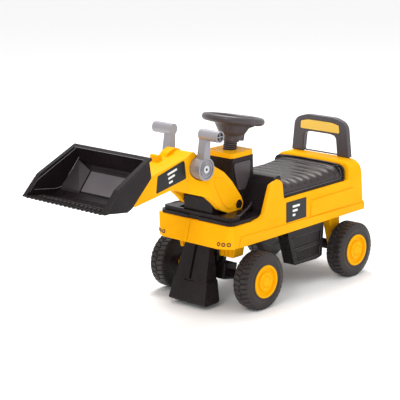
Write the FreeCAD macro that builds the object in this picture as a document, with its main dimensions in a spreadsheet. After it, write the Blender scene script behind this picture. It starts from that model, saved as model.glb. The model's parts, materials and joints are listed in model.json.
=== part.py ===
import FreeCAD, Part
import math
import os
from FreeCAD import Placement, Rotation, Vector

# A child's foot-to-floor digger: a yellow body on four wheels, a hinged seat over a
# storage tub, a raked steering column, and a lifting arm whose bucket is tilted by two
# hand levers. Millimetres. The origin is on the ground under the middle of the whole
# digger, the bucket points to -Y, the rider's left is +X and +Z is up.

DIMENSIONS = {
    "tyre_radius": 65,
    "tyre_inner_face": 105.1,
    "tyre_outer_face": 148.6,
    "hub_radius": 36,
    "hub_face": 151.2,
    "axle_radius": 5,
    "running_clearance": 0.05,
    "front_axle_y": 24.5,
    "rear_axle_y": 358,
    "steering_rake": 10.475,
    "wheel_height_on_column": 343.7,
    "steering_rim_radius": 62.9,
    "steering_tube_radius": 8.5,
    "column_radius": 15,
    "shell_half_width": 113,
    "shell_bottom": 146,
    "shell_wall": 4,
    "skirt_half_width": 115,
    "skirt_top": 170,
    "front_deck_height": 196,
    "pillar_inner": 105,
    "seat_recess_height": 227,
    "seat_front": 130,
    "seat_rear": 364,
    "tower_half_width": 42,
    "tower_top": 325,
    "cap_thickness": 11,
    "arm_pivot_y": 36.3,
    "arm_pivot_z": 225.2,
    "arm_half_width": 60,
    "fork_inner": 45,
    "boom_half_width": 36,
    "lever_pivot_y": -72,
    "lever_pivot_z": 323,
    "lever_boss_radius": 24.5,
    "lever_outer": 63,
    "lever_shaft_radius": 5,
    "grip_radius": 12.5,
    "grip_end": 96,
    "crank_radius": 14,
    "bucket_pin_y": -290,
    "bucket_pin_z": 318,
    "bucket_lip_half": 122.7,
    "bucket_back_half": 112,
    "bucket_wall": 4,
    "step_inner": 80,
    "step_outer": 112,
    "handle_front": 405,
    "handle_depth": 14,
    "hinge_y": 362,
    "hinge_z": 256,
}

doc = FreeCAD.newDocument("RideOnDigger")
sheet = doc.addObject("Spreadsheet::Sheet", "Sizes")
for row, (alias, value) in enumerate(DIMENSIONS.items(), start=1):
    sheet.set("A%d" % row, alias)
    sheet.set("B%d" % row, str(value))
    sheet.setAlias("B%d" % row, alias)
doc.recompute()

SIDES = (("left", 1), ("right", -1))
nodes = {}


def size(alias):
    """A driving dimension as a number."""
    return float(sheet.get(alias))


def bound(text):
    """An expression in which each dimension's name reads its cell of the sheet."""
    words = str(text).replace("(", " ( ").replace(")", " ) ").split()
    return " ".join("Sizes." + word if word in DIMENSIONS else word for word in words)


# ---------------------------------------------------------------- outlines

def outline(points):
    """Closed outline of (u, v) corners; a third number is that corner's radius."""
    corners = []
    for index, point in enumerate(points):
        here = Vector(point[0], point[1], 0)
        if len(point) < 3:
            corners.append((here, here, None))
            continue
        before = Vector(*points[index - 1][:2], 0) - here
        after = Vector(*points[(index + 1) % len(points)][:2], 0) - here
        before.normalize()
        after.normalize()
        half_turn = before.getAngle(after) / 2
        setback = point[2] / math.tan(half_turn)
        bisector = (before + after).normalize()
        middle = here + bisector * (point[2] / math.sin(half_turn) - point[2])
        corners.append((here + before * setback, here + after * setback, middle))
    edges = []
    for index, (start, end, middle) in enumerate(corners):
        if middle is not None:
            edges.append(Part.Arc(start, middle, end))
        following = corners[(index + 1) % len(corners)][0]
        if (following - end).Length > 1e-4:
            edges.append(Part.LineSegment(end, following))
    return edges


def circle(u, v, radius):
    """A round outline."""
    return [Part.Circle(Vector(u, v, 0), Vector(0, 0, 1), radius)]


def box_outline(u_low, u_high, v_low, v_high, radius=0):
    """A rectangle, with rounded corners where a radius is given."""
    corners = [(u_low, v_low), (u_high, v_low), (u_high, v_high), (u_low, v_high)]
    if radius:
        corners = [(u, v, radius) for u, v in corners]
    return outline(corners)


def mirrored(points):
    """A left half outline, listed from its far end, closed with its mirror image."""
    other = [(-point[0],) + tuple(point[1:]) for point in reversed(points)]
    return outline(list(points) + other)


# ---------------------------------------------------------------- features

def new_body(label, place=None):
    """An empty body that becomes the node of that name."""
    body = doc.addObject("PartDesign::Body", label)
    body.Label = label
    body.Placement = place or Placement()
    nodes[label] = body
    return body


def draw(body, plane, outlines, offset="0"):
    """A sketch on one of the body's own origin planes, moved along its normal."""
    sketch = body.newObject("Sketcher::SketchObject", body.Name + "_sketch")
    support = [p for p in body.Origin.OriginFeatures if p.Role == plane][0]
    sketch.AttachmentSupport = [(support, "")]
    sketch.MapMode = "FlatFace"
    sketch.setExpression("AttachmentOffset.Base.z", bound(offset))
    for edges in outlines:
        sketch.addGeometry(edges)
    return sketch


def extrude(body, kind, plane, outlines, low, high):
    """A Pad or Pocket between two places along the axis that the plane faces."""
    backwards = plane == "XZ_Plane"
    offset = "-1 * ( %s )" % high if backwards else low
    before = body.Shape.Volume if kind == "Pocket" else 0
    feature = body.newObject("PartDesign::" + kind, body.Name + "_" + kind.lower())
    feature.Profile = draw(body, plane, outlines, offset)
    feature.setExpression("Length", bound("( %s ) - ( %s )" % (high, low)))
    body.Tip = feature
    if kind == "Pocket":
        feature.Reversed = True
    doc.recompute()
    if not feature.isValid():
        raise RuntimeError("%s: %s" % (feature.Label, feature.getStatusString()))
    if kind == "Pocket" and body.Shape.Volume >= before - 1e-3:
        raise RuntimeError("a pocket of %s cuts nothing" % body.Label)
    return feature


def pad(body, plane, outlines, low, high):
    return extrude(body, "Pad", plane, outlines, low, high)


def pocket(body, plane, outlines, low, high):
    return extrude(body, "Pocket", plane, outlines, low, high)


def revolve(body, plane, outlines, axis, kind="Revolution"):
    """A Revolution or Groove about the sketch's H_Axis or V_Axis."""
    sketch = draw(body, plane, outlines)
    feature = body.newObject("PartDesign::" + kind, body.Name + "_turned")
    feature.Profile = sketch
    feature.ReferenceAxis = (sketch, [axis])
    feature.Angle = 360
    body.Tip = feature
    doc.recompute()
    return feature


def cylinder(name, radius, height, place, keep=False):
    """A plain cylinder along the Z axis of its placement."""
    solid = doc.addObject("Part::Cylinder", name)
    solid.setExpression("Radius", bound(radius))
    solid.setExpression("Height", bound(height))
    solid.Placement = place
    if keep:
        solid.Label = name
        nodes[name] = solid
    return solid



def along_x(x, y, z, side=1):
    """A placement whose Z axis points along +X, or along -X on the right side."""
    return Placement(Vector(x, y, z), Rotation(Vector(0, 1, 0), 90 * side))


def cut(label, base, tools):
    """The base with each tool taken away, as the node of that name."""
    result = base
    for number, tool in enumerate(tools):
        step = doc.addObject("Part::Cut", "%s_cut%d" % (label, number))
        step.Base = result
        step.Tool = tool
        result = step
    result.Label = label
    nodes[label] = result
    return result


def group(label, solids):
    """Identical loose pieces that share one node."""
    compound = doc.addObject("Part::Compound", label)
    compound.Label = label
    compound.Links = solids
    nodes[label] = compound
    return compound


# ---------------------------------------------------------------- wheels and axles

def tyre(name, side, place):
    """A blow-moulded tyre with bevelled shoulders, round the X axis."""
    inner, outer, radius = size("tyre_inner_face"), size("tyre_outer_face"), size("tyre_radius")
    bore = size("hub_radius") + size("running_clearance")
    section = [(inner, bore), (inner, radius - 9), (inner + 4, radius - 2), (inner + 7, radius),
               (outer - 7, radius), (outer - 3, radius - 2), (outer, radius - 8),
               (outer, bore)]
    body = new_body("tyre_" + name, place)
    revolve(body, "XY_Plane", [outline([(side * x, r) for x, r in section])], "H_Axis")


def hub(name, side, place):
    """A stepped yellow hub: rim lip, recessed ring, raised ring and a cap pocket."""
    inner, outer, radius = size("tyre_inner_face"), size("tyre_outer_face"), size("hub_radius")
    face = size("hub_face")
    bore = size("axle_radius") + size("running_clearance")
    section = [(inner, bore), (inner, 10), (141, 12), (141, 31), (inner + 3, 33),
               (inner + 3, radius), (outer + 0.05, radius), (outer + 0.05, radius + 1.6),
               (face, radius + 0.4), (face, 32.5), (face - 5.7, 30), (face - 5.7, 23),
               (face - 1.7, 20.5), (face - 1.7, 12.6), (144, 12.6), (144, bore)]
    body = new_body("hub_" + name, place)
    revolve(body, "XY_Plane", [outline([(side * x, r) for x, r in section])], "H_Axis")


def hub_cap(name, side, place):
    """A cap nut pressed onto the axle's end, which keeps the wheel on."""
    section = [(144.1, size("axle_radius") + 0.02), (144.1, 12.4), (149, 12.4), (150.6, 11),
               (150.6, 0), (147.1, 0), (147.1, size("axle_radius") + 0.02)]
    body = new_body("hub_cap_" + name, place)
    revolve(body, "XY_Plane", [outline([(side * x, r) for x, r in section])], "H_Axis")


def axle(name, place):
    """A steel rod that both wheels of one end turn on."""
    return cylinder(name + "_axle", "axle_radius", 294, place * along_x(-147, 0, 0), keep=True)


rake = Rotation(Vector(1, 0, 0), -size("steering_rake"))
front_centre = Placement(Vector(0, size("front_axle_y"), size("tyre_radius")), Rotation())
rear_centre = Placement(Vector(0, size("rear_axle_y"), size("tyre_radius")), Rotation())
column_frame = Placement(front_centre.Base, rake)

for end, centre in (("front", front_centre), ("rear", rear_centre)):
    axle(end, centre)
    for word, side in SIDES:
        tyre("%s_%s" % (end, word), side, centre)
        hub("%s_%s" % (end, word), side, centre)
        hub_cap("%s_%s" % (end, word), side, centre)


# ---------------------------------------------------------------- steering

def axle_carrier():
    """The black cross block that the column drives and the front axle runs through."""
    bore = size("axle_radius") + 0.02
    body = new_body("axle_carrier", column_frame)
    pad(body, "XY_Plane", [outline([(-45, -22, 6), (45, -22, 6), (45, 22, 6), (-45, 22, 6)])],
        "-14", "22")
    pad(body, "YZ_Plane", [circle(0, 0, 10)], "-105", "105")
    pad(body, "XY_Plane", [circle(0, 0, 21)], "20", "40")
    pocket(body, "XY_Plane", [circle(0, 0, 15.02)], "26", "41")
    pocket(body, "YZ_Plane", [circle(0, 0, bore)], "-106", "106")


def steering_column():
    """A raked tube from the carrier up into the wheel's hub."""
    body = new_body("steering_column", column_frame)
    pad(body, "XY_Plane", [circle(0, 0, size("column_radius")), circle(0, 0, 11)], "26", "300")


def steering_wheel():
    """Rim, hub cone, skirt and three spokes in one moulding."""
    height = size("wheel_height_on_column")
    rim, tube = size("steering_rim_radius"), size("steering_tube_radius")
    skirt = height - 50
    body = new_body("steering_wheel", column_frame)
    cone = outline([(15.1, skirt), (18.5, skirt), (21, skirt + 12, 4), (31, skirt + 20, 6),
                    (41, height - 12, 6), (46, height - 9), (46, height - 1),
                    (31, height - 1), (31, height - 4), (15.1, height - 4)])
    revolve(body, "XZ_Plane", [cone], "V_Axis")
    revolve(body, "XZ_Plane", [circle(rim, height, tube)], "V_Axis")
    spoke_height = ("wheel_height_on_column - 9", "wheel_height_on_column - 1")
    pad(body, "XY_Plane", [box_outline(-rim, -33, -24, 16)], *spoke_height)
    pad(body, "XY_Plane", [box_outline(33, rim, -24, 16)], *spoke_height)
    pad(body, "XY_Plane", [box_outline(-13, 13, 33, rim)], *spoke_height)
    pad(body, "XY_Plane", [box_outline(-13, 13, -rim, -33)], *spoke_height)
    pocket(body, "XY_Plane", [circle(-45, -4, 8.2), circle(45, -4, 8.2)],
           "wheel_height_on_column - 7", "wheel_height_on_column + 4")


def horn_button(word, side):
    """A push button that slides 2 mm into a spoke."""
    body = new_body("horn_button_" + word, column_frame)
    pad(body, "XY_Plane", [circle(45 * side, -4, 8)],
        "wheel_height_on_column - 3", "wheel_height_on_column + 3")


axle_carrier()
steering_column()
steering_wheel()
for word, side in SIDES:
    horn_button(word, side)

hub_cover = new_body("steering_hub_cover", column_frame)
pad(hub_cover, "XY_Plane", [circle(0, 0, 30.5)],
    "wheel_height_on_column - 3.95", "wheel_height_on_column + 2")
sound_box = new_body("sound_box", column_frame)
pad(sound_box, "XY_Plane", [box_outline(-7, 7, -7, 7, 2)],
    "wheel_height_on_column - 26", "wheel_height_on_column - 3.95")
bushes = []
for low, high in (("243", "259"), ("128", "140")):
    bush = doc.addObject("PartDesign::Body", "column_bush")
    bush.Placement = column_frame
    pad(bush, "XY_Plane", [circle(0, 0, 20), circle(0, 0, 15.06)], low, high)
    bushes.append(bush)
group("column_bushes", bushes)


# ---------------------------------------------------------------- yellow body

def body_shell():
    """The hollow yellow body: low front, a pillar on each side and a rear hump."""
    deck, half = size("front_deck_height"), size("shell_half_width")
    pillar, recess = size("pillar_inner"), size("seat_recess_height")
    front, rear = size("seat_front"), size("seat_rear")
    bottom = size("shell_bottom")
    body = new_body("body_shell")
    side_view = [(-61, bottom), (-47, deck, 3), (26, deck, 14), (56, deck + 4, 16),
                 (82, 268, 10), (112, 276, 9), (124, 266, 8), (front, recess),
                 (rear + 4, recess, 1.5), (rear + 15, 269, 10), (417, 271.5, 8), (423, 247, 14),
                 (424, 222), (429, 168), (434, 163), (434, bottom)]
    pad(body, "YZ_Plane", [outline(side_view)], "-1 * shell_half_width", "shell_half_width")
    seam = outline([(-63, bottom + 2), (-49, deck + 2), (-46, deck + 2), (-58.5, bottom + 2)])
    pocket(body, "YZ_Plane", [seam], "-10", "-9")
    for side in (1, -1):
        corner = [(side * 82, -80), (side * 122, -80), (side * 122, -26), (side * 114, -40, 12),
                  (side * 100, -53, 16), (side * 82, -61)]
        pocket(body, "XY_Plane", [outline(corner)], "shell_bottom - 1", "seat_recess_height")
        low, high = ("shell_half_width - 1", "skirt_half_width")
        if side < 0:
            low, high = ("-1 * skirt_half_width", "1 - shell_half_width")
        skirt = outline([(-26, bottom), (-18, size("skirt_top"), 3), (434, size("skirt_top") - 8),
                         (434, bottom)])
        pad(body, "YZ_Plane", [skirt], low, high)
        panel = box_outline(side * (half - 1), side * (half + 1), 228, 386, 0.9)
        pad(body, "XY_Plane", [panel], "167", "205")
    inside = half - size("shell_wall")
    chamber = [(-inside, 419), (inside, 419), (inside, -26, 8), (inside - 14, -40, 6),
               (-inside + 14, -40, 6), (-inside, -26, 8)]
    pocket(body, "XY_Plane", [outline(chamber)], "shell_bottom - 1", "front_deck_height - 5")
    bumper = box_outline(-80, 80, -52, -39, 4)
    pocket(body, "XY_Plane", [bumper], "shell_bottom - 1", "160")
    knee_room = [(74, deck - 6), (96, 264, 8), (110, 269, 6), (118, 264, 5), (127, recess - 4),
                 (rear + 8, recess - 4), (rear + 11, 234), (418, 234), (419, 220),
                 (419, deck - 6)]
    pocket(body, "YZ_Plane", [outline(knee_room)], "shell_wall - shell_half_width",
           "shell_half_width - shell_wall")
    hump_room = [(rear + 10, 233), (rear + 20, 262, 7), (408, 265, 6), (416, 246, 12), (418, 233)]
    pocket(body, "YZ_Plane", [outline(hump_room)], "-86", "86")
    footwell = box_outline(-pillar, pillar, -33, front - 3, 4)
    pocket(body, "XY_Plane", [footwell], "front_deck_height - 8", "290")
    well = box_outline(-98, 98, front - 6, rear - 2, 8)
    pocket(body, "XY_Plane", [well], "seat_recess_height - 5", "seat_recess_height + 1")
    pin_row = size("handle_front") + size("handle_depth") / 2
    pocket(body, "XY_Plane", [circle(68, pin_row, 3), circle(-68, pin_row, 3)], "255", "290")
    for side in (1, -1):
        edge = outline([(side * 70, 290), (side * 125, 290), (side * 125, 234),
                        (side * 113.1, 234), (side * 109, 256, 14), (side * 98, 266, 14),
                        (side * 70, 274)])
        pocket(body, "XZ_Plane", [edge], "seat_rear + 4", "440")
        lug = box_outline(side * 84, side * 89, size("hinge_y") - 5, rear + 14)
        pad(body, "XY_Plane", [lug], "hinge_z - 5.5", "hinge_z + 4")
    pocket(body, "YZ_Plane", [circle(size("hinge_y"), size("hinge_z"), 2.02)], "-95", "95")


def deck_plate():
    """The black footwell: a two-step deck, leg channels and the knee wall."""
    deck, pillar = size("front_deck_height"), size("pillar_inner")
    fork, arm = size("fork_inner"), size("arm_half_width")
    body = new_body("deck_plate")
    lower = [(-108, 22, 3), (-108, -36, 9), (-98, -45, 9), (-22, -45, 3), (-19, -41, 2),
             (9, -41, 2), (12, -45, 3), (98, -45, 9), (108, -36, 9), (108, 22, 3),
             (pillar - 0.5, 26), (pillar - 0.5, 72), (-pillar + 0.5, 72),
             (-pillar + 0.5, 26)]
    pad(body, "XY_Plane", [outline(lower)], "front_deck_height + 0.5", "front_deck_height + 8")
    upper = [(-101, -39, 8), (101, -39, 8), (101, -8, 10),
             (80, 34, 12), (62, 78), (-62, 78), (-80, 34, 12), (-101, -8, 10)]
    pad(body, "XY_Plane", [outline(upper)], "front_deck_height + 7", "front_deck_height + 17")
    sump = box_outline(-pillar + 0.5, pillar - 0.5, -32, 124, 4)
    pad(body, "XY_Plane", [sump], "front_deck_height - 4", "front_deck_height + 1")
    knee = [(66, deck - 4), (72, deck + 8, 8), (100, 262, 16), (112, 278, 8), (128.5, 279, 4),
            (128.5, 268), (120, 262), (106, deck + 4), (106, deck - 4)]
    pad(body, "YZ_Plane", [outline(knee)], "0.5 - pillar_inner", "pillar_inner - 0.5")
    hollow = [(78, deck - 5), (104, 258, 8), (116, 266, 3), (102, deck - 5)]
    pocket(body, "YZ_Plane", [outline(hollow)], "5 - pillar_inner", "pillar_inner - 5")
    for side in (1, -1):
        channel = box_outline(side * (fork - 2), side * (arm + 3), -30, 58, 5)
        pocket(body, "XY_Plane", [channel], "front_deck_height + 1", "front_deck_height + 18")
    notch = box_outline(-42.3, 42.3, 40, 108.5)
    pocket(body, "XY_Plane", [notch], "front_deck_height + 17", "290")
    under_tower = box_outline(-34, 34, -24, 96, 6)
    pocket(body, "XY_Plane", [under_tower], "front_deck_height - 5", "front_deck_height + 18")


def console_tower():
    """The hollow black console: a pedestal between the arm's legs, then the tower."""
    deck, top = size("front_deck_height") + 17, size("tower_top")
    pivot_y, pivot_z = size("arm_pivot_y"), size("arm_pivot_z")
    body = new_body("console_tower")
    side_view = [(-33, deck), (-33, 248, 8), (-4, 262, 26), (22, 256, 12), (38, 276, 12),
                 (36, top), (106, top), (108, deck)]
    pad(body, "YZ_Plane", [outline(side_view)], "-1 * tower_half_width", "tower_half_width")
    inside = [(-29, deck - 1), (-29, 244, 6), (-4, 257, 22), (24, 251, 8), (43, 276, 8),
              (41, top - 4), (102, top - 4), (104, deck - 1)]
    pocket(body, "YZ_Plane", [outline(inside)], "4 - tower_half_width", "tower_half_width - 4")
    pocket(body, "YZ_Plane", [circle(pivot_y, pivot_z, 6.05)],
           "-1 * tower_half_width - 1", "tower_half_width + 1")
    slanted = cylinder("tower_bore", "20.02", "400", column_frame)
    return cut("console_tower", nodes["console_tower"], [slanted])


def tower_cap():
    """The yellow cap on the tower, with a bevelled edge and the column's hole."""
    half = size("tower_half_width")
    body = new_body("tower_cap")
    plan = outline([(-half, 34, 9), (half, 34, 9), (half, 110, 9), (-half, 110, 9)])
    pad(body, "XY_Plane", [plan], "tower_top", "tower_top + cap_thickness")
    slot = box_outline(-32, -20, 48, 54, 2.5)
    pocket(body, "XY_Plane", [slot], "tower_top + cap_thickness - 3", "tower_top + 20")
    slanted = cylinder("cap_bore", "15.3", "400", column_frame)
    return cut("tower_cap", nodes["tower_cap"], [slanted])


def tower_pad(word, side):
    """A lighter trim pad let onto the tower's side."""
    body = doc.addObject("PartDesign::Body", "tower_pad_" + word)
    plan = outline([(38, 314, 6), (96, 314, 6), (92, 278, 8), (78, 250, 8), (54, 250, 8),
                    (46, 280, 8)])
    half = "tower_half_width"
    if side > 0:
        pad(body, "YZ_Plane", [plan], half + " + 0.02", half + " + 2")
    else:
        pad(body, "YZ_Plane", [plan], "-2 - " + half, "-0.02 - " + half)
    return body


def storage_tub():
    """The open black tub under the seat."""
    front, rear = size("seat_front"), size("seat_rear")
    body = new_body("storage_tub")
    pad(body, "XY_Plane", [box_outline(-96, 96, front - 2, rear - 5, 8)], "151", "222")
    flange = box_outline(-101, 101, front - 2, rear - 2, 8)
    pad(body, "XY_Plane", [flange], "219", "seat_recess_height - 4")
    pocket(body, "XY_Plane", [box_outline(-93, 93, front + 1, rear - 8, 6)], "154", "224")


body_shell()
deck_plate()
console_tower()
tower_cap()
group("tower_pads", [tower_pad(word, side) for word, side in SIDES])
storage_tub()


# ---------------------------------------------------------------- rear, sides and underside

def seat_lid():
    """The moulded seat: a flat flange and a crowned pad that rises to the front."""
    front, rear = size("seat_front"), size("seat_rear")
    body = new_body("seat_lid")
    flange = box_outline(-109, 109, front + 1, rear + 1, 8)
    pad(body, "XY_Plane", [flange], "seat_recess_height + 0.5", "seat_recess_height + 6")
    crown = [(front + 2, 229), (front + 0.5, 262, 8), (front + 8, 272, 8), (150, 262, 20),
             (200, 254, 60), (300, 254, 60), (345, 259, 16), (rear + 1, 264, 3),
             (rear + 1, 229)]
    pad(body, "YZ_Plane", [outline(crown)], "-96", "96")
    for side in (1, -1):
        slope = [(side * 97, 234), (side * 94, 243, 6), (side * 83, 256, 12), (side * 62, 276),
                 (side * 97, 276)]
        pocket(body, "XZ_Plane", [outline(slope)], "seat_front", "seat_rear + 1.5")
    rim = mirrored([(105, 229), (105, 266, 18)])
    pad(body, "XZ_Plane", [rim], "seat_rear - 4", "seat_rear + 1.5")
    under = box_outline(-78, 78, front + 12, rear - 14, 6)
    pocket(body, "XY_Plane", [under], "seat_recess_height", "seat_recess_height + 18")
    slots = [box_outline(side * 82.5, side * 90.5, 347, 372) for side in (1, -1)]
    pocket(body, "XY_Plane", slots, "seat_recess_height", "280")
    hinge = circle(size("hinge_y"), size("hinge_z"), 2.05)
    pocket(body, "YZ_Plane", [hinge], "-97", "97")
    cylinder("seat_hinge_pin", "2", "180", along_x(-90, size("hinge_y"), size("hinge_z")),
             keep=True)


def backrest_handle():
    """The black hoop behind the seat that an adult pushes on."""
    body = new_body("backrest_handle")
    front, back = "handle_front", "handle_front + handle_depth"
    hoop = mirrored([(86, 271.6), (77, 351, 26), (45, 362.5, 60)])
    hole = mirrored([(53, 270), (48, 319, 12), (30, 322.5, 40)])
    pad(body, "XZ_Plane", [hoop], front, back)
    pocket(body, "XZ_Plane", [hole], front + " - 1", back + " + 1")
    sill = mirrored([(60, 271.6), (60, 274)])
    pad(body, "XZ_Plane", [sill], back + " - 5", back)
    seat = mirrored([(59, 327, 3), (57.5, 346, 4), (38, 351, 60)])
    pocket(body, "XZ_Plane", [seat], front + " - 1", front + " + 2")
    pin_row = size("handle_front") + size("handle_depth") / 2
    pins = [circle(68, pin_row, 2.95), circle(-68, pin_row, 2.95)]
    pad(body, "XY_Plane", pins, "257", "274")


def backrest_insert():
    """The yellow panel set into the front of the hoop."""
    body = new_body("backrest_insert")
    plate = mirrored([(58.7, 327.3, 3), (57.2, 345.7, 4), (38, 350.7, 60)])
    pad(body, "XZ_Plane", [plate], "handle_front - 1.5", "handle_front + 2")


def front_wedge():
    """The hollow black foot under the nose, flared towards the ground."""
    bottom = size("shell_bottom")
    body = new_body("front_wedge")
    side_view = [(-33, bottom), (-75, 14, 3), (-72, 10), (-32, 10), (-25, 14), (-24, bottom)]
    pad(body, "YZ_Plane", [outline(side_view)], "-55", "55")
    for side in (1, -1):
        flank = [(side * 36, bottom + 1), (side * 43, 90), (side * 46, 62), (side * 49, 61),
                 (side * 55, 9), (side * 70, 9), (side * 70, bottom + 1)]
        pocket(body, "XZ_Plane", [outline(flank)], "-80", "-20")
    groove = outline([(-28.5, bottom + 1), (-55, 62), (-80, 62), (-80, bottom + 1)])
    pocket(body, "YZ_Plane", [groove], "-6", "2")
    foot = outline([(-57.5, 60), (-58.5, 57), (-80, 57), (-80, 60)])
    pocket(body, "YZ_Plane", [foot], "-18", "14")
    hollow = [(-30, bottom - 5), (-38, 96), (-66, 18), (-28, 18), (-28, bottom - 5)]
    pocket(body, "YZ_Plane", [outline(hollow)], "8", "32")
    pocket(body, "YZ_Plane", [outline(hollow)], "-32", "-12")


def under_pan():
    """The black plate that closes the body from below and carries the legs."""
    body = new_body("under_pan")
    plan = [(-108, 418, 8), (108, 418, 8), (108, -26, 8), (94, -37, 4), (-94, -37, 4),
            (-108, -26, 8)]
    pad(body, "XY_Plane", [outline(plan)], "shell_bottom", "shell_bottom + 4")
    slanted = cylinder("pan_bore", "26.02", "400", column_frame)
    return cut("under_pan", nodes["under_pan"], [slanted])


def column_block():
    """The black collar under the pan that steadies the foot of the column."""
    body = new_body("column_block", column_frame)
    pad(body, "XY_Plane", [circle(0, 0, 26), circle(0, 0, 20.02)], "100", "140")
    return body


def side_step(word, side):
    """A black step box between the wheels, with a rib, holes and fine ridges."""
    body = new_body("side_step_" + word)
    low, high = ("step_inner", "step_outer") if side > 0 else ("-1 * step_outer", "-1 * step_inner")
    view = [(146, 146), (147, 133), (170, 62, 4), (252, 60, 4), (272, 64, 4), (278, 130),
            (278, 146)]
    pad(body, "YZ_Plane", [outline(view)], low, high)
    inner, outer = size("step_inner"), size("step_outer")
    panels = ([(160, 128, 2), (168, 102, 2), (266, 102, 2), (268, 128, 2)],
              [(171, 93, 2), (178, 70, 2), (262, 69, 2), (265, 93, 2)])
    face = ("step_outer - 2", "step_outer + 1") if side > 0 else ("-1 * step_outer - 1", "2 - step_outer")
    pocket(body, "YZ_Plane", [outline(panel) for panel in panels], *face)
    ridges = [box_outline(182, 258, z, z + 2) for z in (74, 80, 86)]
    if side > 0:
        pad(body, "YZ_Plane", ridges, "step_outer - 3", "step_outer - 0.8")
    else:
        pad(body, "YZ_Plane", ridges, "0.8 - step_outer", "3 - step_outer")
    cavity = box_outline(side * (inner + 4), side * (outer - 6), 178, 262, 3)
    pocket(body, "XY_Plane", [cavity], "68", "147")


def front_leg(word, side):
    """A short ribbed yellow block beside the foot."""
    body = new_body("front_leg_" + word)
    view = [(side * 37, 146), (side * 39, 112, 3), (side * 80, 112, 3), (side * 87, 146)]
    pad(body, "XZ_Plane", [outline(view)], "-6", "26")
    for x in (47, 58, 69):
        rib = box_outline(side * x, side * (x + 4), -7, -4)
        pocket(body, "XY_Plane", [rib], "105", "140")


def rear_leg(word, side):
    """A yellow leg from the pan down to the rear axle."""
    body = new_body("rear_leg_" + word)
    axle_y, axle_z = size("rear_axle_y"), size("tyre_radius")
    view = [(322, 146), (axle_y - 13, 70, 6), (axle_y - 13, 52, 10), (axle_y + 13, 52, 10),
            (axle_y + 13, 72, 6), (366, 146)]
    low, high = ("72", "90") if side > 0 else ("-90", "-72")
    pad(body, "YZ_Plane", [outline(view)], low, high)
    sleeve_low, sleeve_high = ("71", "105") if side > 0 else ("-105", "-71")
    pad(body, "YZ_Plane", [circle(axle_y, axle_z, 10)], sleeve_low, sleeve_high)
    pocket(body, "YZ_Plane", [circle(axle_y, axle_z, 5.05)], "-106", "106")


def rear_axle_tube():
    """The black tube round the rear axle between the legs."""
    body = new_body("rear_axle_tube")
    ring = [circle(size("rear_axle_y"), size("tyre_radius"), 12),
            circle(size("rear_axle_y"), size("tyre_radius"), 5.1)]
    pad(body, "YZ_Plane", ring, "-71", "71")


def side_decal(word, side):
    """A thin plain label on the flank, in front of the raised panel."""
    body = doc.addObject("PartDesign::Body", "side_decal_" + word)
    half = "shell_half_width"
    low, high = (half + " + 0.02", half + " + 0.8") if side > 0 else ("-0.8 - " + half, "-0.02 - " + half)
    pad(body, "YZ_Plane", [box_outline(138, 210, 170, 217, 1.5)], low, high)
    return body


def pan_screws():
    """The screws that hold the pan up to the body."""
    screws = []
    for x in (-98, 98):
        for y in (-20, 130, 300, 408):
            place = Placement(Vector(x, y, size("shell_bottom") - 2), Rotation())
            screws.append(cylinder("pan_screw", "4", "1.98", place))
    group("pan_screws", screws)


seat_lid()
backrest_handle()
backrest_insert()
front_wedge()
under_pan()
column_block()
for word, side in SIDES:
    side_step(word, side)
    front_leg(word, side)
    rear_leg(word, side)
group("side_decals", [side_decal(word, side) for word, side in SIDES])
rear_axle_tube()
pan_screws()


# ---------------------------------------------------------------- arm, levers and bucket

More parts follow.
